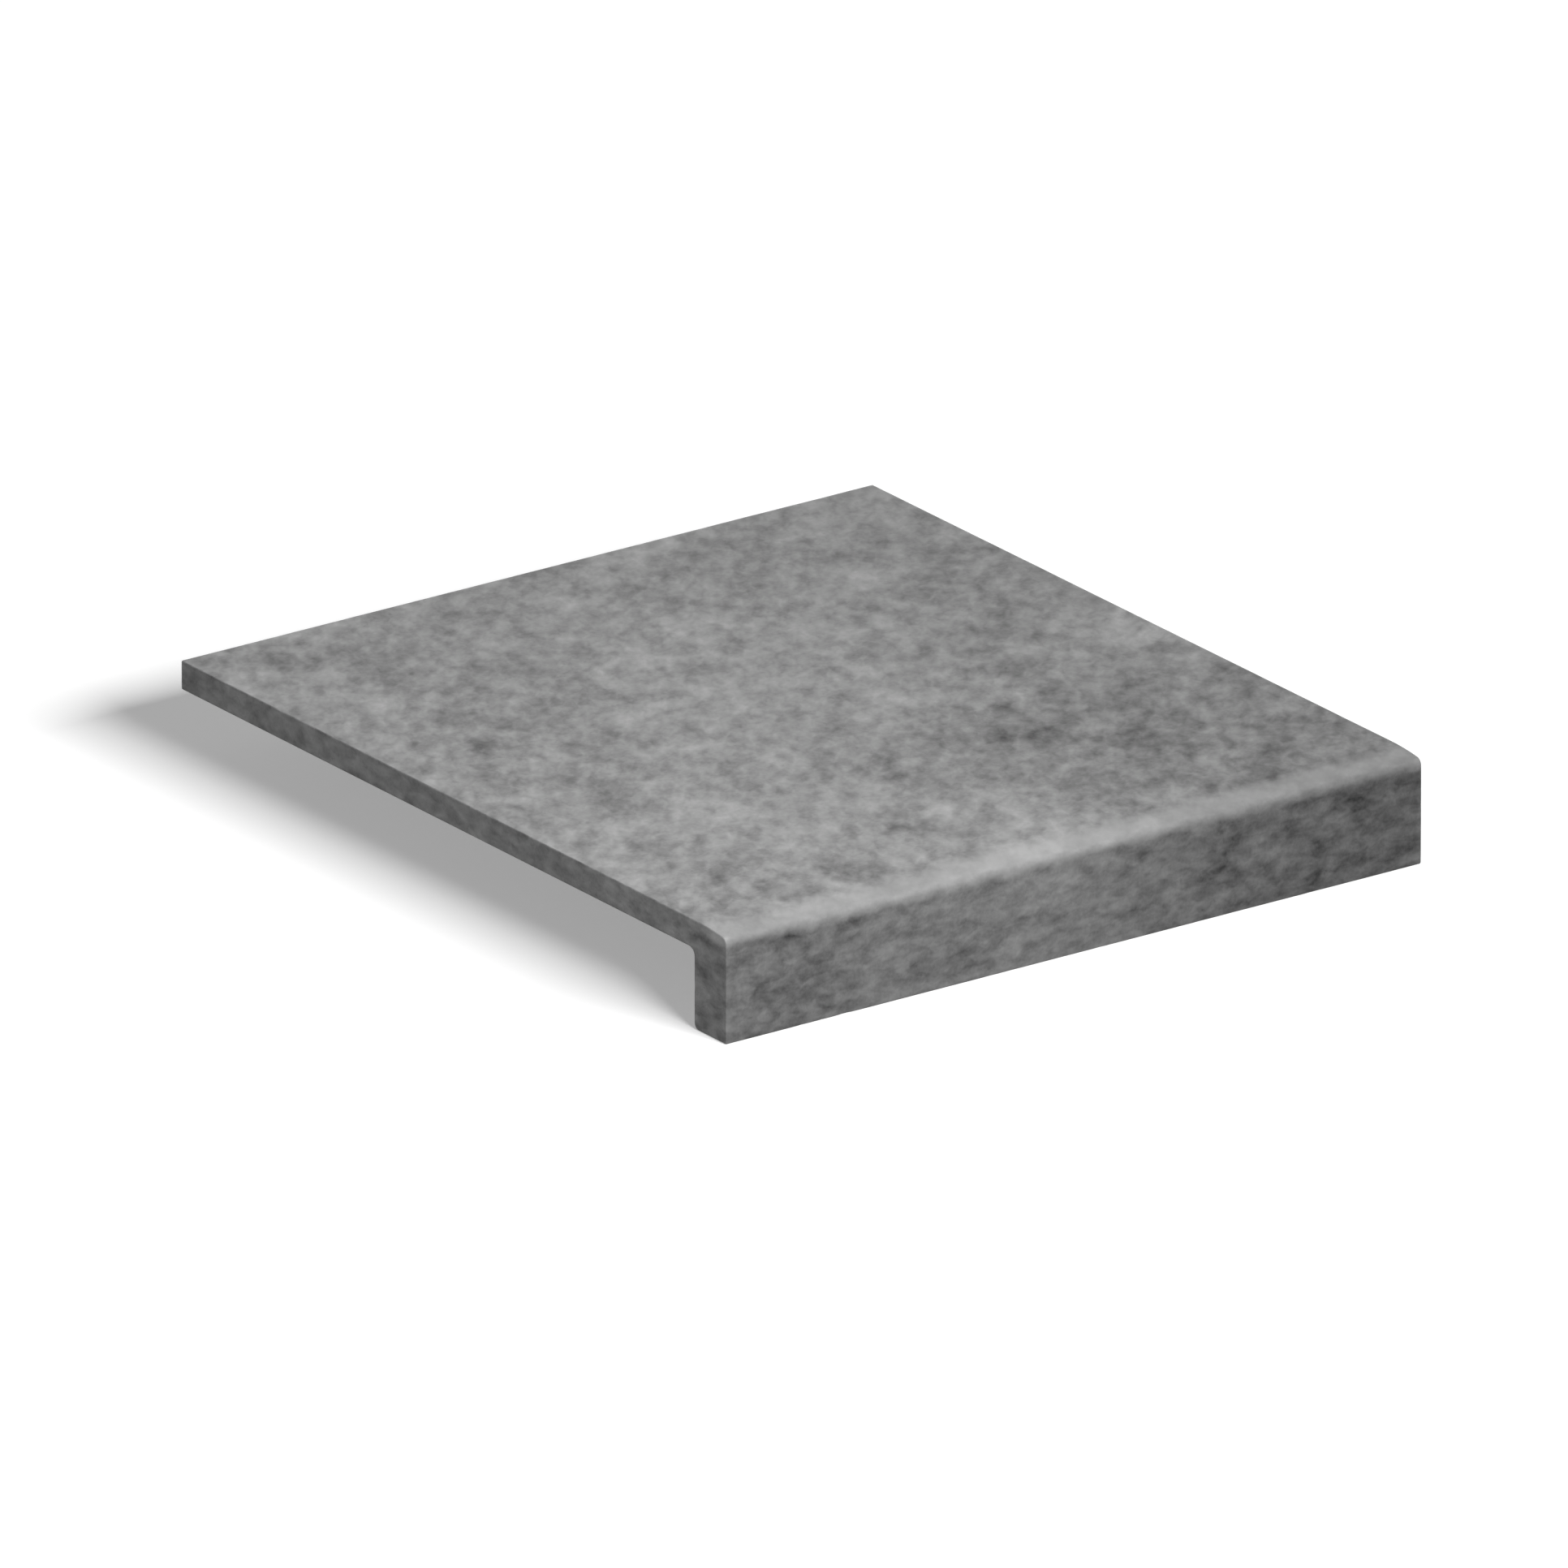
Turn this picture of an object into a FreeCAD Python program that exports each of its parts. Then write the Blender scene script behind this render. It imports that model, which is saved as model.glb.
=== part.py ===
import FreeCAD, Part
import math
import os

# Stair tread tile with a curved nose, pressed and fired as one piece. All sizes are in millimetres.
# The origin is at floor level under the middle of the tile. +Z is up, the nose and its lip face -Y,
# and the back edge, which meets the riser of the next step, faces +Y.

# Tread plate
tread_width = 300.0
tread_depth = 330.0
plate_thickness = 11.0

# Lip that hangs down over the front of the step
lip_drop = 30.0
lip_thickness = 19.5
lip_root_radius = 3.0
foot_front_radius = 0.8
foot_back_radius = 2.5

# Curved nose: a slow roll off the tread, then a tight turn into the front face
nose_roll_length = 18.0
nose_roll_radius = 110.0
nose_turn_radius = 3.0

# Softened arris along both ends and the back edge
arris_radius = 0.6

# Keying cells pressed into the underside: a honeycomb of shallow six-sided pockets between flat ribs
cell_width = 22.0
cell_depth = 0.9
cell_draft_deg = 50.0
rib_width = 5.0
rim_width = 16.0
root_land = 8.0

# Levels and faces that follow from the sizes above
underside_z = lip_drop
tread_z = lip_drop + plate_thickness
front_y = -tread_depth / 2
back_y = tread_depth / 2
lip_back_y = front_y + lip_thickness
half_width = tread_width / 2

ON_PLANE = 1e-6


def section_point(y, z):
    """A point of the cross section, which lies in the plane of the left end."""
    return FreeCAD.Vector(-half_width, y, z)


def line(start, end):
    return Part.LineSegment(start, end).toShape()


def arc(centre, radius, start_deg, end_deg):
    """Circular arc of the section. Angles turn from +Y (0) towards +Z (90)."""

    def on_circle(angle_deg):
        angle = math.radians(angle_deg)
        return centre + FreeCAD.Vector(0, radius * math.cos(angle), radius * math.sin(angle))

    middle_deg = (start_deg + end_deg) / 2
    return Part.Arc(on_circle(start_deg), on_circle(middle_deg), on_circle(end_deg)).toShape()


def nose_arcs():
    """The roll is tangent to the tread, and the turn is tangent to the roll and to the front face."""
    roll_centre = section_point(front_y + nose_roll_length, tread_z - nose_roll_radius)
    centres_apart = nose_roll_radius - nose_turn_radius
    turn_ahead = nose_roll_length - nose_turn_radius
    turn_above = math.sqrt(centres_apart**2 - turn_ahead**2)
    turn_centre = roll_centre + FreeCAD.Vector(0, -turn_ahead, turn_above)
    meeting_deg = 90 + math.degrees(math.asin(turn_ahead / centres_apart))
    roll = arc(roll_centre, nose_roll_radius, 90, meeting_deg)
    turn = arc(turn_centre, nose_turn_radius, meeting_deg, 180)
    return roll, turn, turn_centre.z


def section_wire():
    """Closed outline of plate, nose and lip, drawn from the back edge over the tread and round the lip."""
    roll, turn, nose_foot_z = nose_arcs()
    foot_front = section_point(front_y + foot_front_radius, foot_front_radius)
    foot_back = section_point(lip_back_y - foot_back_radius, foot_back_radius)
    root = section_point(lip_back_y + lip_root_radius, underside_z - lip_root_radius)
    back_top = section_point(back_y, tread_z)
    back_bottom = section_point(back_y, underside_z)
    edges = [
        line(back_top, section_point(front_y + nose_roll_length, tread_z)),
        roll,
        turn,
        line(section_point(front_y, nose_foot_z), section_point(front_y, foot_front_radius)),
        arc(foot_front, foot_front_radius, 180, 270),
        line(section_point(foot_front.y, 0), section_point(foot_back.y, 0)),
        arc(foot_back, foot_back_radius, 270, 360),
        line(section_point(lip_back_y, foot_back_radius), section_point(lip_back_y, root.z)),
        arc(root, lip_root_radius, 180, 90),
        line(section_point(root.y, underside_z), back_bottom),
        line(back_bottom, back_top),
    ]
    return Part.Wire(edges)


def is_arris(edge):
    """True for the outlines of both ends and for the two long edges at the back."""
    box = edge.BoundBox
    at_end = box.XLength < ON_PLANE
    at_back = box.YLength < ON_PLANE and abs(box.YMin - back_y) < ON_PLANE
    return at_end or at_back


def body():
    """Plate and lip as one extrusion of the section, with its arrises softened."""
    solid = Part.Face(section_wire()).extrude(FreeCAD.Vector(tread_width, 0, 0))
    return solid.makeFillet(arris_radius, [edge for edge in solid.Edges if is_arris(edge)])


def hexagon(width, z):
    """Six-sided outline centred on the Z axis, with two of its flats facing -X and +X."""
    reach = width / 2 / math.cos(math.radians(30))
    angles = [math.radians(30 + 60 * corner) for corner in range(7)]
    return Part.makePolygon([FreeCAD.Vector(reach * math.cos(a), reach * math.sin(a), z) for a in angles])


def cell():
    """One keying cell at the origin of X and Y: its walls lean in from the mouth to the floor."""
    lean = cell_depth / math.tan(math.radians(cell_draft_deg))
    mouth = hexagon(cell_width, underside_z)
    floor = hexagon(cell_width - 2 * lean, underside_z + cell_depth)
    return Part.makeLoft([mouth, floor], True, True)


def honeycomb():
    """Staggered rows of cells inside a flat rim, clear of the root of the lip."""
    one = cell()
    pitch = cell_width + rib_width
    row_pitch = pitch * math.cos(math.radians(30))
    cell_length = cell_width / math.cos(math.radians(30))
    low_y = lip_back_y + lip_root_radius + root_land
    high_y = back_y - rim_width
    columns = int((tread_width - 2 * rim_width + rib_width) // pitch)
    rows = 1 + int((high_y - low_y - cell_length) // row_pitch)
    cells = []
    for row in range(rows):
        in_row = columns - row % 2
        y = (low_y + high_y) / 2 + (row - (rows - 1) / 2) * row_pitch
        for column in range(in_row):
            x = (column - (in_row - 1) / 2) * pitch
            cells.append(one.translated(FreeCAD.Vector(x, y, 0)))
    return cells


def stair_tread_tile():
    return body().cut(Part.makeCompound(honeycomb()))


os.makedirs("parts", exist_ok=True)
tile = stair_tread_tile()
tile.exportStep("parts/stair_tread_tile.step")
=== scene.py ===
import math
from collections import namedtuple

import bpy
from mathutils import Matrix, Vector


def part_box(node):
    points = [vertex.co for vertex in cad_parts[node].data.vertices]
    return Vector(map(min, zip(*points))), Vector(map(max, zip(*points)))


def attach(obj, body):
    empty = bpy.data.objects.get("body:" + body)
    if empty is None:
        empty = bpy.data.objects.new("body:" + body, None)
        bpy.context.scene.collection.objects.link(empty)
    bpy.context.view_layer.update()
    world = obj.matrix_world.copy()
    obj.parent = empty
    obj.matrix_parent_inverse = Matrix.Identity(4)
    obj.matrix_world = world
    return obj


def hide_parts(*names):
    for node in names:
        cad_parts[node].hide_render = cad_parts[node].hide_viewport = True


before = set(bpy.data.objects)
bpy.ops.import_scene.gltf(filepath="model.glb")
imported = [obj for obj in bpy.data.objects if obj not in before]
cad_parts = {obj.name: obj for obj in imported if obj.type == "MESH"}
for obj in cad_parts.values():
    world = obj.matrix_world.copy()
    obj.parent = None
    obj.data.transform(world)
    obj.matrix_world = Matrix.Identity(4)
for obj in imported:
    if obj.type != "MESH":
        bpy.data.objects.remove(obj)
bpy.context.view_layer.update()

# Stair tread tile with a curved nose: the pressed, fired surface over the solid.
# Metres, +Z up, nose towards -Y.

MM = 0.001
TILE = "stair_tread_tile"
tile_low, tile_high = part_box(TILE)

# Sizes of the pressing, as in the solid
tile_sizes = {
    "Width": tile_high.x - tile_low.x,
    "Front": tile_low.y,
    "Back": tile_high.y,
    "Height": tile_high.z,
    "Plate Thickness": 11.0 * MM,
    "Lip Thickness": 19.5 * MM,
    "Root Radius": 3.0 * MM,
    "Foot Front Radius": 0.8 * MM,
    "Foot Back Radius": 2.5 * MM,
    "Nose Roll Length": 18.0 * MM,
    "Nose Roll Radius": 110.0 * MM,
    "Nose Turn Radius": 3.0 * MM,
    "Back Radius": 0.65 * MM,
    "End Radius": 0.6 * MM,
}

# Honeycomb of keying cells under the plate
honeycomb_sizes = {
    "Cell Width": 22.0 * MM,
    "Cell Depth": 0.9 * MM,
    "Cell Draft": math.radians(50.0),
    "Rib Width": 5.0 * MM,
    "Rim Width": 16.0 * MM,
    "Root Land": 8.0 * MM,
}

# Mesh fineness and the relief that pressing and firing leave
finish_sizes = {
    "Facet": 1.45 * MM,
    "Underside Facet": 6.0 * MM,
    "Wave Depth": 0.12 * MM,
    "Dimple Depth": 0.08 * MM,
    "Pit Depth": 0.16 * MM,
    "Chip Depth": 0.20 * MM,
}

all_sizes = {**tile_sizes, **honeycomb_sizes, **finish_sizes}

# Arc steps at the section's corners, in the order of section_corners
CORNER_STEPS = (4, 10, 7, 3, 5, 6, 4)
END_STEPS = 4
MERGE_GAP = 0.002 * MM
ROUNDING_GUARD = 1e-4
HEXAGON_TURN = math.radians(30)
CRISP_ANGLE = math.radians(30)
FLAT_END = 0.996

# A pattern: features to the metre, octaves of finer detail, how rough that detail is, an offset that sets
# it apart from the other patterns, and a strength. Spots fill only a share of their cells.
Pattern = namedtuple("Pattern", "per_metre detail roughness offset strength", defaults=(1.0,))
Spots = namedtuple("Spots", "per_metre share offset strength", defaults=(1.0,))

# Spots reach over a share of their cell, from the smallest up, and stray at the rim
SMALLEST_SPOT = 0.14
SPOT_GROWTH = 0.26
SPOT_RIM = (1.1, 0.2)
RIM_FINENESS = 3
RIM_STRAY = 0.6

# Relief of the pressed surface; its depths are the finish sizes
WAVE = Pattern(20.0, 1.0, 0.5, 1.7)
DIMPLE = Pattern(105.0, 2.0, 0.55, 4.1)
CHIP = Pattern(150.0, 3.0, 0.6, 7.9)
PITS = Spots(95.0, 0.30, 2.3)
CHIP_BORDER = (0.05, 0.75)
EDGE_FLATNESS = (0.985, 0.80)
FACES_DOWN = -0.6

# Mottling, coarse to fine, of the tread and of the rough sides, then grain, specks and pores
TREAD_MOTTLE = (
    Pattern(22.0, 1.0, 0.5, 11.3, 0.09),
    Pattern(42.0, 2.0, 0.5, 5.2, 0.13),
    Pattern(105.0, 2.0, 0.5, 2.6, 0.25),
    Pattern(245.0, 2.0, 0.5, 4.7, 0.20),
)
SIDE_MOTTLE = (
    Pattern(100.0, 2.0, 0.5, 7.3, 0.22),
    Pattern(270.0, 2.0, 0.5, 1.9, 0.32),
)
GRAIN = Pattern(800.0, 2.0, 0.5, 8.8)
FINE_GRAIN = Pattern(1900.0, 2.0, 0.6, 3.7)
TREAD_GRAIN = 0.07
SIDE_GRAIN = 0.11
DARK_SPECKS = Spots(72.0, 0.28, 6.1, 0.15)
PALE_SPECKS = Spots(95.0, 0.22, 9.4, 0.11)
PORES = Spots(420.0, 0.25, 1.1, 0.09)
MOTTLE_DISTORTION = 0.3
MOTTLE_CONTRAST = 2.5
MOTTLE_LIMIT = 1.5

# The tread's blotches are longer from the left front to the right back, and the sides' blotches are flat
BLOTCH_TURN = math.radians(36)
TREAD_DRAW = (1.0, 0.6, 1.0)
SIDE_DRAW = (0.55, 0.55, 1.0)

# Tones of the clay, from black 0 to white 1, and its finish
# The sides' tone is partly the rough body's own and partly painted shade, darker than the tread
SIDE_CLAY_AND_SHADE_TONE = 0.240
TREAD_TONE = 0.316
# Painted highlight along the nose: a paler tone where the rounded nose catches the light
NOSE_HIGHLIGHT_TONE = 0.405
RIB_TONE = 0.34
CELL_TONE = 0.25
# Painted highlight along the front face's ends, where the arrises catch the light
ARRIS_HIGHLIGHT = 0.16
ROUGH_CLAY = 0.70
SMOOTH_NOSE = 0.52
CLAY_SPECULAR = 0.35
ROUGHNESS_LIMITS = (0.3, 0.95)
GRAIN_ON_ROUGHNESS = 0.06
BUMP_STRENGTH = 0.5
BUMP_DEPTH = 0.12 * MM
BUMP_GRAIN = 0.3
BUMP_PORES = 0.9

# How much of the mottling and of the broad areas the nose and the underside lose
NOSE_CALM = 0.6
NOSE_AREA_CALM = 0.35
UNDER_CALM = 0.55

# Where the zones of the clay begin and are whole, by how far the surface faces up, down or forward
TOP_FACING = (0.55, 0.97)
UNDER_FACING = (-0.6, -0.9)
FRONT_FACING = (-0.3, -0.6)

# The same by distance: behind the front face, above the floor and in from an end. The underside is sought
# only above the foot, and the floors of the cells are darker than the ribs.
NOSE_BEHIND = (17 * MM, 5 * MM)
NOSE_ABOVE = (34 * MM, 38 * MM)
NOSE_BORDER = Pattern(45.0, 3.0, 0.5, 3.3, 3 * MM)
# Band of painted highlight in from each end of the front face
ARRIS_HIGHLIGHT_BAND = (3.5 * MM, 1.0 * MM)
ABOVE_FOOT = 20 * MM
CELL_RIM = 0.1 * MM
CELL_FLOOR_SHARE = 0.7

# Broad areas of the clay's own uneven tone mixed with painted shade (-) and painted light (+): x, y and
# reach in mm, and strength.
# Those at the front go on over the nose and down the lip.
TONE_AND_PAINTED_LIGHT_AREAS = {
    "shaded right front": (100, -110, 140, -0.28),
    "left front corner": (-150, -190, 90, -0.13),
    "left end of the lip": (-130, -200, 55, -0.22),
    "right end of the lip": (140, -190, 70, -0.18),
    "lit middle of the nose": (0, -170, 60, 0.14),
    "pale middle of the tread": (0, 40, 70, 0.10),
    "darker left side": (-80, 60, 80, -0.10),
    "darker right side": (130, 60, 60, -0.12),
}
AREA_BORDERS = (Pattern(55.0, 2.0, 0.5, 6.6, 16 * MM), Pattern(55.0, 2.0, 0.5, 12.4, 16 * MM))
AREA_CORE = 0.2

# The photograph's view of the tile, in its own 1932 pixel square
PHOTO_SIDE_PX = 1932
TILE_CENTRE_PX = (985.9, 938.8)
PX_PER_METRE = 3506.5
VIEW_AZIMUTH = math.radians(-35.64)
VIEW_ELEVATION = math.radians(21.06)
VIEW_DISTANCE = 20.4
SENSOR = 36.0

# Long strip lamp for the floor: far off, so that it lights the floor evenly and gives the shadow soft sides
STRIP_DISTANCE = 30.0
STRIP_ELEVATION = math.radians(29)
STRIP_AZIMUTH = math.radians(2)
STRIP_SPREAD = (math.radians(32), math.radians(12))
STRIP_POWER = 17500.0

# Softboxes for the tile: place, height of the spot over the origin that they face, power and sides. The
# strip behind stays below the tread, so it fills only the back, the right end and the underside.
SOFTBOXES = {
    "softbox_above": ((-0.25, 0.05, 1.0), 0.04, 5.6, (0.8, 0.8)),
    "softbox_ahead": ((-0.36, -0.78, 0.5), 0.03, 4.8, (0.4, 0.4)),
    "low_strip_behind": ((0.7, 0.8, 0.02), 0.02, 4.5, (0.6, 0.03)),
}
WORLD_STRENGTH = 0.08

# Floor tones for the camera: the glow keeps the shadow as light as the photograph's
FLOOR_GLOW = 0.33
FLOOR_PAINT = 0.78
FLOOR_BOUNCE = 0.20
FLOOR_SIDE = 8.0


class Value:
    """A number that flows through a node tree. Arithmetic on it adds Math nodes to the tree."""

    def __init__(self, tree, socket):
        self.tree = tree
        self.socket = socket

    def __add__(self, other):
        return calc(self.tree, "ADD", self, other)

    __radd__ = __add__

    def __sub__(self, other):
        return calc(self.tree, "SUBTRACT", self, other)

    def __rsub__(self, other):
        return calc(self.tree, "SUBTRACT", other, self)

    def __mul__(self, other):
        return calc(self.tree, "MULTIPLY", self, other)

    __rmul__ = __mul__

    def __truediv__(self, other):
        return calc(self.tree, "DIVIDE", self, other)

    def __mod__(self, other):
        return calc(self.tree, "FLOORED_MODULO", self, other)

    def floor(self):
        return calc(self.tree, "FLOOR", self)

    def absolute(self):
        return calc(self.tree, "ABSOLUTE", self)

    def sine(self):
        return calc(self.tree, "SINE", self)

    def cosine(self):
        return calc(self.tree, "COSINE", self)

    def tangent(self):
        return calc(self.tree, "TANGENT", self)

    def arcsine(self):
        return calc(self.tree, "ARCSINE", self)

    def above(self, other):
        return calc(self.tree, "GREATER_THAN", self, other)

    def below(self, other):
        return calc(self.tree, "LESS_THAN", self, other)

    def between(self, low, high):
        return calc(self.tree, "MINIMUM", calc(self.tree, "MAXIMUM", self, low), high)

    def ramp(self, start, end):
        """Smooth step: 0 at start, 1 at end. Start may be above end."""
        node = add(self.tree, "ShaderNodeMapRange", {"Value": self, "From Min": start, "From Max": end})
        node.interpolation_type = "SMOOTHSTEP"
        return Value(self.tree, node.outputs["Result"])


def feed(tree, entry, value):
    """Links a value or socket to an entry, or sets the entry's own number."""
    if isinstance(value, Value):
        tree.links.new(value.socket, entry)
    elif isinstance(value, bpy.types.NodeSocket):
        tree.links.new(value, entry)
    else:
        entry.default_value = value


def calc(tree, operation, *values):
    node = tree.nodes.new("ShaderNodeMath")
    node.operation = operation
    for entry, value in zip(node.inputs, values):
        feed(tree, entry, value)
    return Value(tree, node.outputs[0])


def add(tree, kind, entries=None, **settings):
    """Adds a node, with its settings first, because they decide which entries it shows."""
    node = tree.nodes.new(kind)
    for name, value in settings.items():
        setattr(node, name, value)
    for name, value in (entries or {}).items():
        feed(tree, shown_entry(node, name), value)
    return node


def shown_entry(node, name):
    """The node's enabled entry of that name or number."""
    if isinstance(name, int):
        return node.inputs[name]
    return next(entry for entry in node.inputs if entry.name == name and entry.enabled)


def shown_exit(node, name=None):
    return next(exit for exit in node.outputs if exit.enabled and name in (None, exit.name))


def vector(tree, x, y, z):
    return add(tree, "ShaderNodeCombineXYZ", {"X": x, "Y": y, "Z": z}).outputs[0]


def parts_of(tree, socket):
    """X, Y and Z of a vector."""
    node = add(tree, "ShaderNodeSeparateXYZ", {0: socket})
    return [Value(tree, exit) for exit in node.outputs]


def vector_calc(tree, operation, *values):
    node = tree.nodes.new("ShaderNodeVectorMath")
    node.operation = operation
    for entry, value in zip(node.inputs, values):
        feed(tree, entry, value)
    return shown_exit(node)


def scaled(tree, socket, factor):
    return shown_exit(add(tree, "ShaderNodeVectorMath", {0: socket, "Scale": factor}, operation="SCALE"))


def moved_by(tree, place, offset):
    return vector_calc(tree, "ADD", place, (offset, offset, offset))


def noise(tree, place, pattern, distortion=0.0):
    """Fractal noise about 0, roughly from -1 to 1."""
    entries = {
        "Vector": moved_by(tree, place, pattern.offset),
        "Scale": pattern.per_metre,
        "Detail": pattern.detail,
        "Roughness": pattern.roughness,
        "Distortion": distortion,
    }
    node = add(tree, "ShaderNodeTexNoise", entries)
    return (Value(tree, node.outputs[0]) - 0.5) * 2.0


def spots(tree, place, pattern):
    """Spots of 1 on 0, of many sizes, uneven and with soft rims."""
    cells = {"Vector": moved_by(tree, place, pattern.offset), "Scale": pattern.per_metre}
    node = add(tree, "ShaderNodeTexVoronoi", cells)
    pick, size, _ = parts_of(tree, node.outputs["Color"])
    radius = SMALLEST_SPOT + SPOT_GROWTH * size
    stray = noise(tree, place, Pattern(pattern.per_metre * RIM_FINENESS, 1.0, 0.5, pattern.offset))
    reach = Value(tree, node.outputs["Distance"]) / radius + stray * RIM_STRAY
    return reach.ramp(*SPOT_RIM) * pick.below(pattern.share)


def new_tree(name, sizes):
    """An empty Geometry Nodes tree with a named entry for each size, and those entries as values."""
    tree = bpy.data.node_groups.new(name, "GeometryNodeTree")
    for size_name, size in sizes.items():
        socket = tree.interface.new_socket(size_name, in_out="INPUT", socket_type="NodeSocketFloat")
        socket.default_value = size
    tree.interface.new_socket("Geometry", in_out="OUTPUT", socket_type="NodeSocketGeometry")
    entries = tree.nodes.new("NodeGroupInput")
    return tree, {size_name: Value(tree, entries.outputs[size_name]) for size_name in sizes}


def section_corners(size):
    """Corners of the section before rounding, as (y, z, radius), over the tread and round the lip."""
    front, back, top = size["Front"], size["Back"], size["Height"]
    underside = top - size["Plate Thickness"]
    lip_back = front + size["Lip Thickness"]
    turn_ahead = size["Nose Roll Length"] - size["Nose Turn Radius"]
    centres_apart = size["Nose Roll Radius"] - size["Nose Turn Radius"]
    slope = (turn_ahead / centres_apart).arcsine()
    roll_y = front + size["Nose Roll Length"] - size["Nose Roll Radius"] * (slope / 2).tangent()
    turn_z = top - (roll_y - front) * slope.tangent()
    return [
        (back, top, size["Back Radius"]),
        (roll_y, top, size["Nose Roll Radius"]),
        (front, turn_z, size["Nose Turn Radius"]),
        (front, 0.0, size["Foot Front Radius"]),
        (lip_back, 0.0, size["Foot Back Radius"]),
        (lip_back, underside, size["Root Radius"]),
        (back, underside, size["Back Radius"]),
    ]


def pick_by_index(tree, index, kind, items):
    node = add(tree, "GeometryNodeIndexSwitch", data_type=kind)
    while len(node.index_switch_items) < len(items):
        node.index_switch_items.new()
    feed(tree, node.inputs["Index"], index)
    for entry, item in zip(list(node.inputs)[1:], items):
        feed(tree, entry, item)
    return node.outputs[0]


def section_curve(tree, size):
    """Closed outline of plate, nose and lip in the YZ plane: rounded, then long runs cut into facets."""
    corners = section_corners(size)
    index = Value(tree, add(tree, "GeometryNodeInputIndex").outputs[0])
    chain = add(tree, "GeometryNodeMeshLine", {"Count": len(corners)}).outputs[0]
    places = pick_by_index(tree, index, "VECTOR", [vector(tree, 0.0, y, z) for y, z, _ in corners])
    chain = add(tree, "GeometryNodeSetPosition", {"Geometry": chain, "Position": places}).outputs[0]
    curve = add(tree, "GeometryNodeMeshToCurve", {"Mesh": chain}).outputs[0]
    curve = add(tree, "GeometryNodeSetSplineCyclic", {"Geometry": curve, "Cyclic": True}).outputs[0]
    radii = pick_by_index(tree, index, "FLOAT", [radius for _, _, radius in corners])
    steps = pick_by_index(tree, index, "INT", CORNER_STEPS)
    rounding = {"Curve": curve, "Count": steps, "Radius": radii, "Limit Radius": False}
    curve = add(tree, "GeometryNodeFilletCurve", rounding, mode="POLY").outputs[0]

    position = add(tree, "GeometryNodeInputPosition").outputs[0]
    count = Value(tree, add(tree, "GeometryNodeSplineLength").outputs["Point Count"])
    next_place = {"Value": position, "Index": (index + 1) % count}
    following = add(tree, "GeometryNodeFieldAtIndex", next_place, data_type="FLOAT_VECTOR").outputs[0]
    run = Value(tree, vector_calc(tree, "DISTANCE", position, following))
    doubled = {"Geometry": curve, "Selection": run.below(MERGE_GAP)}
    curve = add(tree, "GeometryNodeDeleteGeometry", doubled).outputs[0]
    z = parts_of(tree, position)[2]
    level = size["Height"] - size["Plate Thickness"]
    under = (z - level).absolute().below(MERGE_GAP) * run.above(size["Underside Facet"])
    facet = size["Facet"] + under * (size["Underside Facet"] - size["Facet"])
    cuts = (run / facet).floor()
    return add(tree, "GeometryNodeSubdivideCurve", {"Curve": curve, "Cuts": cuts}).outputs[0]


def inset_place(tree, curve, index, inset, x):
    """Point of the section moved inwards by the inset and along to x."""
    position = add(tree, "GeometryNodeInputPosition").outputs[0]
    tangent = add(tree, "GeometryNodeInputTangent").outputs[0]
    _, along_y, along_z = parts_of(tree, tangent)
    inwards = vector(tree, 0.0, 0.0 - along_z, along_y)
    sampled = []
    for field in (position, inwards):
        entries = {"Geometry": curve, "Value": field, "Index": index}
        sampled.append(add(tree, "GeometryNodeSampleIndex", entries, data_type="FLOAT_VECTOR").outputs[0])
    place = vector_calc(tree, "ADD", sampled[0], scaled(tree, sampled[1], inset))
    return vector_calc(tree, "ADD", place, vector(tree, x, 0.0, 0.0))


def skin(tree, size, curve, section_points):
    """The section drawn along the tile's width, with both ends rounded over."""
    index = Value(tree, add(tree, "GeometryNodeInputIndex").outputs[0])
    radius = size["End Radius"]
    straight = size["Width"] - 2 * radius
    cells = (straight / size["Facet"]).floor()
    stations = cells + (2 * END_STEPS + 1)
    around = section_points + 1
    grid = add(tree, "GeometryNodeMeshGrid", {"Vertices X": stations, "Vertices Y": around}).outputs[0]
    station = (index / around + ROUNDING_GUARD).floor()
    on_section = (index % around) % section_points
    quarter = math.pi / 2
    left_turn = (station / END_STEPS).between(0, 1) * quarter
    right_turn = ((stations - 1 - station) / END_STEPS).between(0, 1) * quarter
    run = (station - END_STEPS).between(0, cells) * (straight / cells)
    x = radius * (1 - left_turn.cosine()) + run + radius * right_turn.cosine() - size["Width"] / 2
    inset = radius * (2 - left_turn.sine() - right_turn.sine())
    place = inset_place(tree, curve, on_section, inset, x)
    drawn = add(tree, "GeometryNodeSetPosition", {"Geometry": grid, "Position": place}).outputs[0]
    return add(tree, "GeometryNodeFlipFaces", {"Mesh": drawn}).outputs[0]


def end_cap(tree, size, curve, section_points, side):
    """Flat end face inside the rounding. Side is -1 for the left end and 1 for the right."""
    index = Value(tree, add(tree, "GeometryNodeInputIndex").outputs[0])
    disc = add(tree, "GeometryNodeMeshCircle", {"Vertices": section_points}, fill_type="NGON").outputs[0]
    place = inset_place(tree, curve, index, size["End Radius"], side * size["Width"] / 2)
    cap = add(tree, "GeometryNodeSetPosition", {"Geometry": disc, "Position": place}).outputs[0]
    if side < 0:
        cap = add(tree, "GeometryNodeFlipFaces", {"Mesh": cap}).outputs[0]
    return cap


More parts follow.
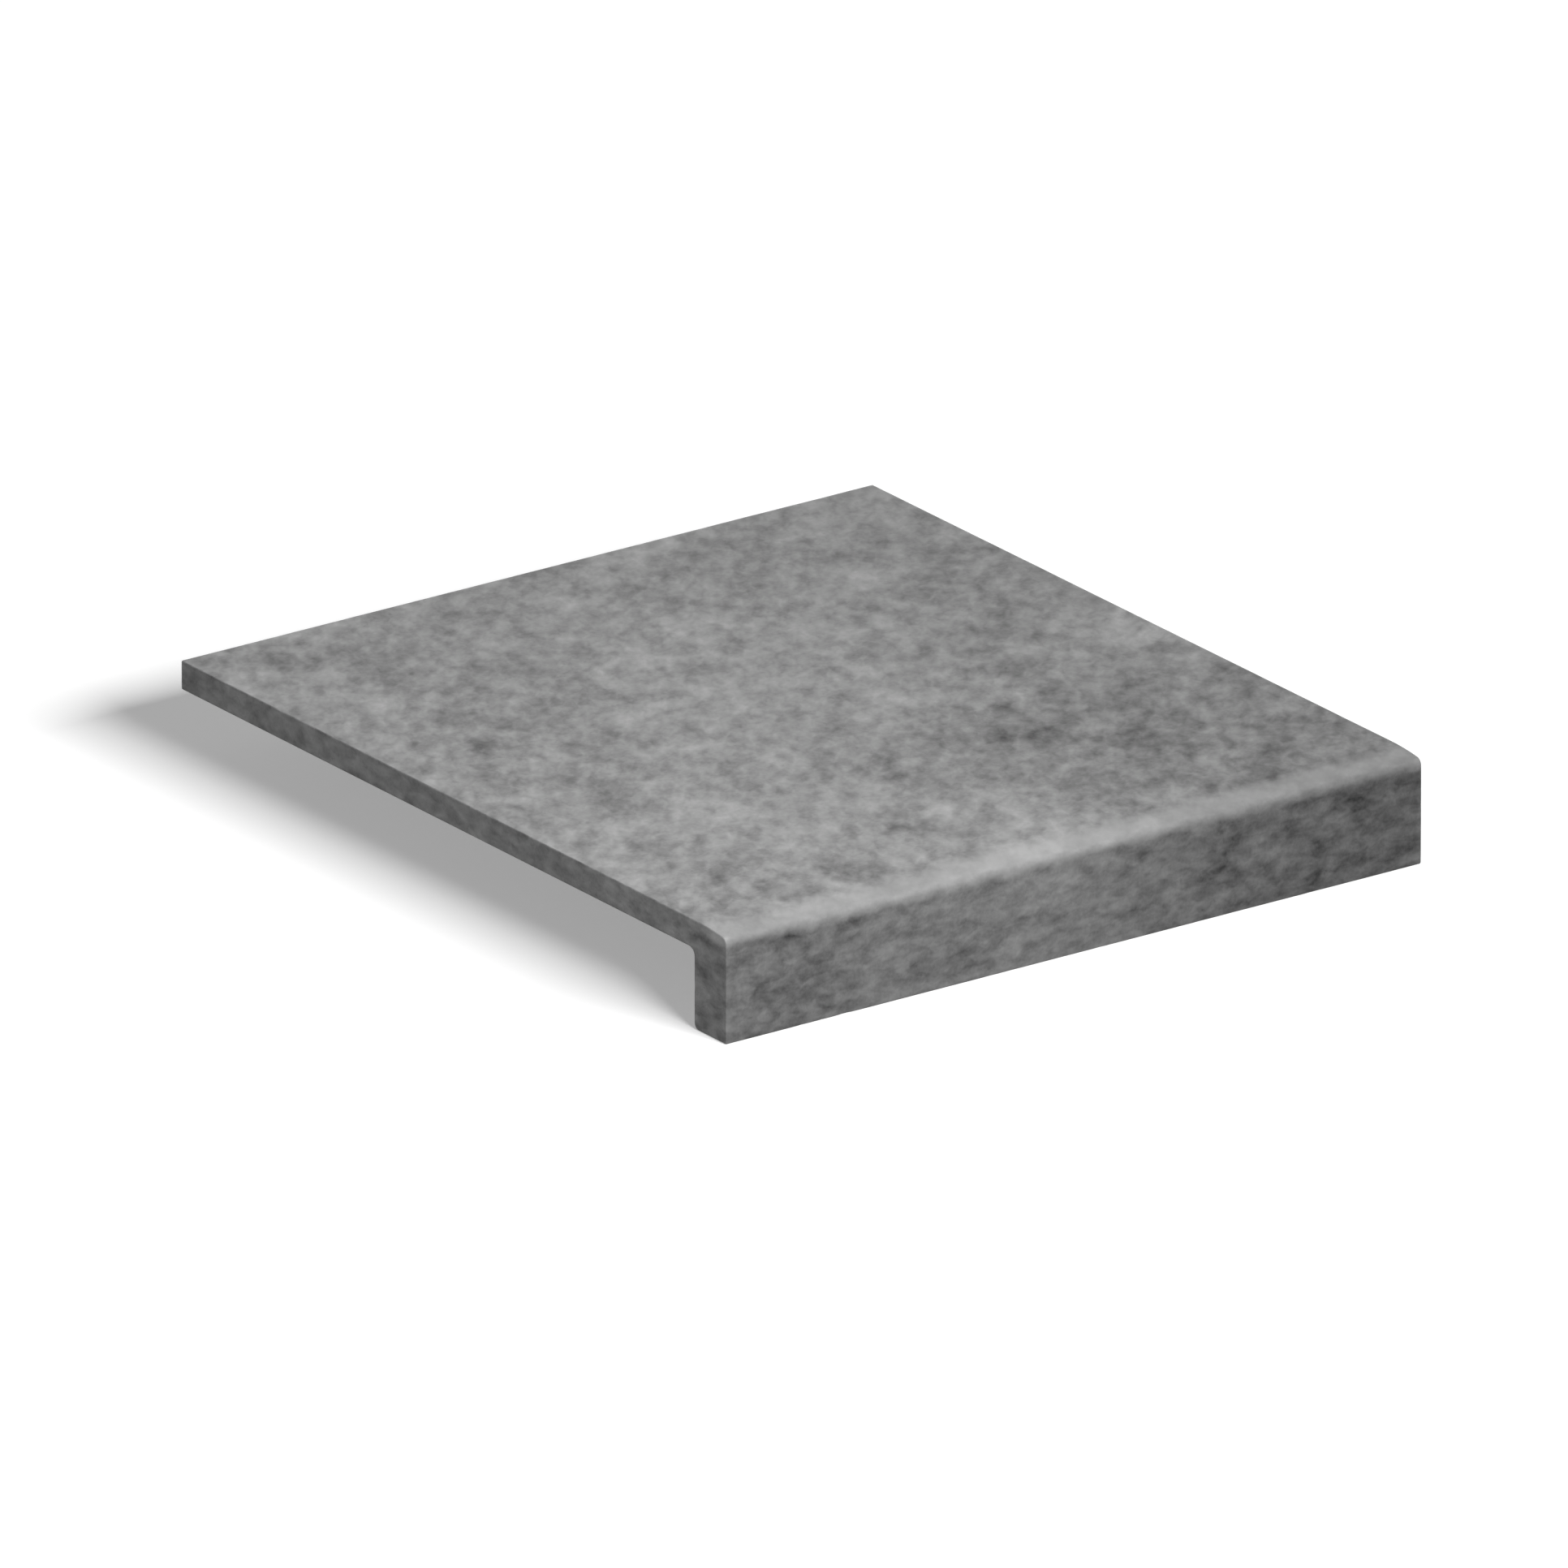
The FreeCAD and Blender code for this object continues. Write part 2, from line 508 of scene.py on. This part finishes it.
def relief(tree, size, body):
    """Waves, dimples and pits in the surface, and chips along the edges. All of it goes inwards."""
    place = add(tree, "GeometryNodeInputPosition").outputs[0]
    normal = add(tree, "GeometryNodeInputNormal").outputs[0]
    z = parts_of(tree, place)[2]
    normal_x, normal_y, normal_z = parts_of(tree, normal)
    wave = noise(tree, place, WAVE) * 0.5 + 0.5
    dimple = noise(tree, place, DIMPLE) * 0.5 + 0.5
    pit = spots(tree, place, PITS)
    chip = noise(tree, place, CHIP).ramp(*CHIP_BORDER)
    flatness = calc(tree, "MAXIMUM", normal_y.absolute(), normal_z.absolute())
    flatness = calc(tree, "MAXIMUM", normal_x.absolute(), flatness)
    edge = flatness.ramp(*EDGE_FLATNESS)
    faces_down = normal_z.below(FACES_DOWN) * z.above(size["Height"] / 2)
    depth = wave * size["Wave Depth"] + dimple * size["Dimple Depth"] + pit * size["Pit Depth"]
    depth = depth + chip * edge * size["Chip Depth"]
    depth = depth * (1 - faces_down)
    offset = scaled(tree, normal, 0.0 - depth)
    return add(tree, "GeometryNodeSetPosition", {"Geometry": body, "Offset": offset}).outputs[0]


def honeycomb(tree, size):
    """Six-sided frustums in staggered rows, which cut the keying cells."""
    index = Value(tree, add(tree, "GeometryNodeInputIndex").outputs[0])
    to_corner = 1 / math.cos(HEXAGON_TURN)
    pitch = size["Cell Width"] + size["Rib Width"]
    row_pitch = pitch / to_corner
    low_y = size["Front"] + size["Lip Thickness"] + size["Root Radius"] + size["Root Land"]
    high_y = size["Back"] - size["Rim Width"]
    columns = ((size["Width"] - 2 * size["Rim Width"] + size["Rib Width"]) / pitch).floor()
    rows = ((high_y - low_y - size["Cell Width"] * to_corner) / row_pitch).floor() + 1
    row = (index / columns + ROUNDING_GUARD).floor()
    column = index % columns
    staggered = row % 2
    x = (column - (columns - 1 - staggered) / 2) * pitch
    y = (low_y + high_y) / 2 + (row - (rows - 1) / 2) * row_pitch
    overcut = size["Cell Depth"]
    underside = size["Height"] - size["Plate Thickness"]
    points = add(tree, "GeometryNodePoints", {"Count": rows * columns}).outputs[0]
    place = vector(tree, x, y, underside - overcut)
    points = add(tree, "GeometryNodeSetPosition", {"Geometry": points, "Position": place}).outputs[0]
    # A staggered row has one cell less, so its last place stays empty
    spare = staggered * column.above(columns - 1.5)
    points = add(tree, "GeometryNodeDeleteGeometry", {"Geometry": points, "Selection": spare}).outputs[0]
    lean = size["Cell Depth"] / size["Cell Draft"].tangent()
    frustum = {
        "Vertices": 6,
        "Radius Bottom": (size["Cell Width"] / 2 + lean) * to_corner,
        "Radius Top": (size["Cell Width"] / 2 - lean) * to_corner,
        "Depth": overcut + size["Cell Depth"],
    }
    cutter = add(tree, "GeometryNodeMeshCone", frustum).outputs[0]
    turned = add(tree, "FunctionNodeEulerToRotation", {0: (0.0, 0.0, HEXAGON_TURN)}).outputs[0]
    placing = {"Points": points, "Instance": cutter, "Rotation": turned}
    cutters = add(tree, "GeometryNodeInstanceOnPoints", placing).outputs[0]
    return add(tree, "GeometryNodeRealizeInstances", {"Geometry": cutters}).outputs[0]


def shading_edges(tree, mesh):
    """Smooth faces, with the two flat ends and every edge over the crisp angle kept crisp."""
    normal = add(tree, "GeometryNodeInputNormal").outputs[0]
    flat_end = parts_of(tree, normal)[0].absolute().above(FLAT_END)
    angle = Value(tree, add(tree, "GeometryNodeInputMeshEdgeAngle").outputs[0])
    entries = {"Geometry": mesh, "Shade Smooth": True}
    mesh = add(tree, "GeometryNodeSetShadeSmooth", entries).outputs[0]
    entries = {"Geometry": mesh, "Selection": flat_end, "Shade Smooth": False}
    mesh = add(tree, "GeometryNodeSetShadeSmooth", entries).outputs[0]
    entries = {"Geometry": mesh, "Selection": angle.above(CRISP_ANGLE), "Shade Smooth": False}
    return add(tree, "GeometryNodeSetShadeSmooth", entries, domain="EDGE").outputs[0]


def pressed_tile_tree(material):
    """The whole tile: skin and ends, relief, keying cells, then crisp edges and the fired finish."""
    tree, size = new_tree("pressed_tile", all_sizes)
    curve = section_curve(tree, size)
    counter = add(tree, "GeometryNodeAttributeDomainSize", {"Geometry": curve}, component="CURVE")
    section_points = Value(tree, shown_exit(counter, "Point Count"))
    join = add(tree, "GeometryNodeJoinGeometry")
    for part in (
        skin(tree, size, curve, section_points),
        end_cap(tree, size, curve, section_points, -1),
        end_cap(tree, size, curve, section_points, 1),
    ):
        tree.links.new(part, join.inputs[0])
    closed = {"Geometry": join.outputs[0], "Distance": MERGE_GAP}
    body = add(tree, "GeometryNodeMergeByDistance", closed).outputs[0]
    body = relief(tree, size, body)
    cut = add(tree, "GeometryNodeMeshBoolean", operation="DIFFERENCE", solver="MANIFOLD")
    tree.links.new(body, cut.inputs["Mesh 1"])
    tree.links.new(honeycomb(tree, size), cut.inputs["Mesh 2"])
    whole = {"Geometry": cut.outputs["Mesh"], "Distance": MERGE_GAP}
    body = add(tree, "GeometryNodeMergeByDistance", whole).outputs[0]
    body = shading_edges(tree, body)
    body = add(tree, "GeometryNodeRealizeInstances", {"Geometry": body}).outputs[0]
    body = add(tree, "GeometryNodeSetMaterial", {"Geometry": body, "Material": material}).outputs[0]
    last = tree.nodes.new("NodeGroupOutput")
    tree.links.new(body, last.inputs[0])
    return tree


def drop_empty_slots(mesh):
    """The boolean leaves an empty material slot before the real one; every face takes the real one."""
    for number in reversed(range(len(mesh.materials))):
        if mesh.materials[number] is None:
            mesh.materials.pop(index=number)
    mesh.polygons.foreach_set("material_index", [0] * len(mesh.polygons))


def plain_mesh(name, tree, sizes):
    """Runs a tree on an empty mesh and keeps its result as an ordinary mesh object with no modifier."""
    piece = bpy.data.objects.new(name, bpy.data.meshes.new(name))
    bpy.context.scene.collection.objects.link(piece)
    modifier = piece.modifiers.new("shape", "NODES")
    modifier.node_group = tree
    for entry in tree.interface.items_tree:
        if entry.in_out == "INPUT":
            modifier[entry.identifier] = sizes[entry.name]
    evaluated = piece.evaluated_get(bpy.context.evaluated_depsgraph_get())
    mesh = bpy.data.meshes.new_from_object(evaluated)
    piece.modifiers.clear()
    piece.data = mesh
    drop_empty_slots(mesh)
    mesh.name = name
    return piece


def blend(first, second, share):
    """Mixes two numbers: first where share is 0, second where it is 1."""
    return first + (second - first) * share


def mottle(tree, place, pattern):
    """Soft irregular light and dark areas, mostly from -1 to 1."""
    raw = noise(tree, place, pattern, MOTTLE_DISTORTION) * MOTTLE_CONTRAST
    return raw.between(-MOTTLE_LIMIT, MOTTLE_LIMIT)


def mottles(tree, place, patterns):
    """Several mottles, coarse to fine, each at its own strength."""
    first, *finer = patterns
    total = mottle(tree, place, first) * first.strength
    for pattern in finer:
        total = total + mottle(tree, place, pattern) * pattern.strength
    return total


def tone_and_painted_light_areas(tree, place):
    """The areas of painted shade and light over the clay's own uneven tone, together, each with an uneven
    border.
    """
    x, y, _ = parts_of(tree, place)
    drift_x, drift_y = (noise(tree, place, border) * border.strength for border in AREA_BORDERS)
    drifted = vector(tree, x + drift_x, y + drift_y, 0.0)
    total = 0.0
    for area_x, area_y, reach, strength in TONE_AND_PAINTED_LIGHT_AREAS.values():
        middle = (area_x * MM, area_y * MM, 0.0)
        distance = Value(tree, vector_calc(tree, "DISTANCE", drifted, middle))
        total = distance.ramp(reach * MM, AREA_CORE * reach * MM) * strength + total
    return total


def clay_zones(tree, place, facing):
    """Where the tread, the nose, the keyed underside, its cells and the painted highlights at the ends of
    the front are.
    """
    x, y, z = parts_of(tree, place)
    _, facing_back, up = parts_of(tree, facing)
    front = tile_sizes["Front"]
    underside = tile_sizes["Height"] - tile_sizes["Plate Thickness"]
    half_width = tile_sizes["Width"] / 2
    top = up.ramp(*TOP_FACING)
    under = up.ramp(*UNDER_FACING) * z.above(ABOVE_FOOT)
    cell_floor = underside + CELL_FLOOR_SHARE * honeycomb_sizes["Cell Depth"]
    in_cell = z.ramp(underside + CELL_RIM, cell_floor) * under
    nose_edge = y + noise(tree, place, NOSE_BORDER) * NOSE_BORDER.strength
    nose_start, nose_whole = (front + behind for behind in NOSE_BEHIND)
    nose = nose_edge.ramp(nose_start, nose_whole) * z.ramp(*NOSE_ABOVE) * (1 - under)
    # Painted highlight along the front's ends
    highlight_start, highlight_whole = (half_width - inwards for inwards in ARRIS_HIGHLIGHT_BAND)
    arris_highlight = x.absolute().ramp(highlight_start, highlight_whole) * facing_back.ramp(*FRONT_FACING)
    return top, nose, under, in_cell, arris_highlight


def fired_clay():
    """Grey, cement-like fired clay: mottled, with specks and pores, a smooth nose with a painted highlight
    and rough sides painted partly darker as shade.
    """
    material = bpy.data.materials.new("fired_clay_grey")
    material.use_nodes = True
    tree = material.node_tree
    shader = tree.nodes["Principled BSDF"]
    place = add(tree, "ShaderNodeTexCoord").outputs["Object"]
    facing = add(tree, "ShaderNodeNewGeometry").outputs["Normal"]
    top, nose, under, in_cell, arris_highlight = clay_zones(tree, place, facing)

    about_z = {"Vector": place, "Angle": BLOTCH_TURN}
    turned = add(tree, "ShaderNodeVectorRotate", about_z, rotation_type="Z_AXIS").outputs[0]
    tread_place = vector_calc(tree, "MULTIPLY", turned, TREAD_DRAW)
    side_place = vector_calc(tree, "MULTIPLY", place, SIDE_DRAW)
    grain = mottle(tree, place, GRAIN)
    pores = spots(tree, place, PORES)
    tread_tone = mottles(tree, tread_place, TREAD_MOTTLE) + grain * TREAD_GRAIN
    side_tone = mottles(tree, side_place, SIDE_MOTTLE) + grain * SIDE_GRAIN
    mottling = blend(side_tone, tread_tone, top) - spots(tree, place, DARK_SPECKS) * DARK_SPECKS.strength
    mottling = mottling + spots(tree, place, PALE_SPECKS) * PALE_SPECKS.strength - pores * PORES.strength
    tone = 1 + mottling * (1 - nose * NOSE_CALM) * (1 - under * UNDER_CALM)
    # Broad areas add painted shade and light over the clay's own uneven tone, and the arris band a painted
    # highlight
    tone = tone + tone_and_painted_light_areas(tree, place) * (1 - nose * NOSE_AREA_CALM) + arris_highlight * ARRIS_HIGHLIGHT

    # The sides are darker than the tread: partly the rough body, partly painted shade
    albedo = blend(SIDE_CLAY_AND_SHADE_TONE, TREAD_TONE, top)
    # Painted highlight: the nose is paler
    albedo = blend(albedo, NOSE_HIGHLIGHT_TONE, nose)
    albedo = blend(albedo, RIB_TONE, under)
    albedo = blend(albedo, CELL_TONE, in_cell)
    shade = albedo * tone
    color = add(tree, "ShaderNodeCombineColor", {"Red": shade, "Green": shade, "Blue": shade}).outputs[0]
    feed(tree, shader.inputs["Base Color"], color)

    roughness = blend(ROUGH_CLAY, SMOOTH_NOSE, nose) + grain * GRAIN_ON_ROUGHNESS
    feed(tree, shader.inputs["Roughness"], roughness.between(*ROUGHNESS_LIMITS))
    shader.inputs["Specular IOR Level"].default_value = CLAY_SPECULAR

    height = grain * BUMP_GRAIN + noise(tree, place, FINE_GRAIN) * BUMP_GRAIN - pores * BUMP_PORES
    entries = {"Strength": BUMP_STRENGTH, "Distance": BUMP_DEPTH, "Height": height}
    feed(tree, shader.inputs["Normal"], add(tree, "ShaderNodeBump", entries).outputs[0])
    return material


def seen_by_eye(tree):
    """1 for camera, glossy and transmission rays, 0 for the light that bounces between surfaces."""
    rays = add(tree, "ShaderNodeLightPath")
    names = ("Is Camera Ray", "Is Glossy Ray", "Is Transmission Ray")
    camera, glossy, transmission = (Value(tree, rays.outputs[name]) for name in names)
    return (camera + glossy + transmission).between(0, 1)


def white_floor():
    """Pale floor that reads as white around the tile and keeps its soft shadow."""
    material = bpy.data.materials.new("studio_floor")
    material.use_nodes = True
    tree = material.node_tree
    tree.nodes.clear()
    bounce = add(tree, "ShaderNodeBsdfDiffuse", {"Color": (FLOOR_BOUNCE, FLOOR_BOUNCE, FLOOR_BOUNCE, 1)})
    paint = add(tree, "ShaderNodeBsdfDiffuse", {"Color": (FLOOR_PAINT, FLOOR_PAINT, FLOOR_PAINT, 1)})
    glow = add(tree, "ShaderNodeEmission", {"Strength": FLOOR_GLOW})
    seen = add(tree, "ShaderNodeAddShader", {0: paint.outputs[0], 1: glow.outputs[0]})
    mix = add(tree, "ShaderNodeMixShader", {0: seen_by_eye(tree), 1: bounce.outputs[0], 2: seen.outputs[0]})
    out = add(tree, "ShaderNodeOutputMaterial")
    tree.links.new(mix.outputs[0], out.inputs["Surface"])
    return material


def studio_floor():
    half = FLOOR_SIDE / 2
    mesh = bpy.data.meshes.new("studio_floor")
    corners = [(-half, -half, 0), (half, -half, 0), (half, half, 0), (-half, half, 0)]
    mesh.from_pydata(corners, [], [(0, 1, 2, 3)])
    mesh.materials.append(white_floor())
    floor = bpy.data.objects.new("studio_floor", mesh)
    bpy.context.scene.collection.objects.link(floor)
    return floor


def studio_world():
    world = bpy.data.worlds.new("studio")
    world.use_nodes = True
    tree = world.node_tree
    background = tree.nodes["Background"]
    seen = seen_by_eye(tree)
    feed(tree, background.inputs["Strength"], blend(WORLD_STRENGTH, 1.0, seen))
    background.inputs["Color"].default_value = (1, 1, 1, 1)
    bpy.context.scene.world = world


def lit_only(lamp, *objects):
    """Lets the lamp light only these objects."""
    receivers = bpy.data.collections.new(lamp.name + "_lights")
    for obj in objects:
        receivers.objects.link(obj)
    lamp.light_linking.receiver_collection = receivers


def lamp(name, place, aim, power, length, breadth):
    """A rectangular softbox that faces its aim, with its length level. The camera doesn't see it."""
    data = bpy.data.lights.new(name, "AREA")
    data.energy = power
    data.shape = "RECTANGLE"
    data.size = length
    data.size_y = breadth
    obj = bpy.data.objects.new(name, data)
    obj.location = place
    obj.rotation_mode = "QUATERNION"
    obj.rotation_quaternion = (Vector(aim) - Vector(place)).to_track_quat("-Z", "Y")
    obj.visible_camera = False
    bpy.context.scene.collection.objects.link(obj)
    return obj


def studio_lamps(tile, floor):
    """A far strip lamp for the floor and its shadow, and the softboxes for the tile."""
    flat = STRIP_DISTANCE * math.cos(STRIP_ELEVATION)
    from_place = (
        flat * math.sin(STRIP_AZIMUTH),
        -flat * math.cos(STRIP_AZIMUTH),
        STRIP_DISTANCE * math.sin(STRIP_ELEVATION),
    )
    length, breadth = (2 * STRIP_DISTANCE * math.tan(spread / 2) for spread in STRIP_SPREAD)
    strip = lamp("floor_strip", from_place, (0, 0, 0), STRIP_POWER, length, breadth)
    lit_only(strip, floor)
    for name, (place, aim_height, power, sides) in SOFTBOXES.items():
        softbox = lamp(name, place, (0, 0, aim_height), power, *sides)
        lit_only(softbox, tile)


def studio_camera():
    """Long lens at the photograph's angle, moved sideways so that the tile sits where it does there."""
    away = Vector((
        math.sin(VIEW_AZIMUTH) * math.cos(VIEW_ELEVATION),
        -math.cos(VIEW_AZIMUTH) * math.cos(VIEW_ELEVATION),
        math.sin(VIEW_ELEVATION),
    ))
    right = Vector((math.cos(VIEW_AZIMUTH), math.sin(VIEW_AZIMUTH), 0))
    up = away.cross(right)
    half_photo = PHOTO_SIDE_PX / 2
    across = (half_photo - TILE_CENTRE_PX[0]) / PX_PER_METRE
    down = (half_photo - TILE_CENTRE_PX[1]) / PX_PER_METRE
    data = bpy.data.cameras.new("camera")
    data.sensor_width = SENSOR
    data.lens = SENSOR * VIEW_DISTANCE * PX_PER_METRE / PHOTO_SIDE_PX
    camera = bpy.data.objects.new("camera", data)
    centre = Vector((0, 0, tile_sizes["Height"] / 2))
    camera.location = centre + away * VIEW_DISTANCE + right * across - up * down
    camera.rotation_mode = "QUATERNION"
    camera.rotation_quaternion = (-away).to_track_quat("-Z", "Y")
    bpy.context.scene.collection.objects.link(camera)
    bpy.context.scene.camera = camera


bpy.context.scene.view_settings.view_transform = "Standard"
studio_camera()

tread_tile = plain_mesh("tread_tile_surface", pressed_tile_tree(fired_clay()), all_sizes)
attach(tread_tile, "root")
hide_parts(TILE)

studio_world()
studio_lamps(tread_tile, studio_floor())
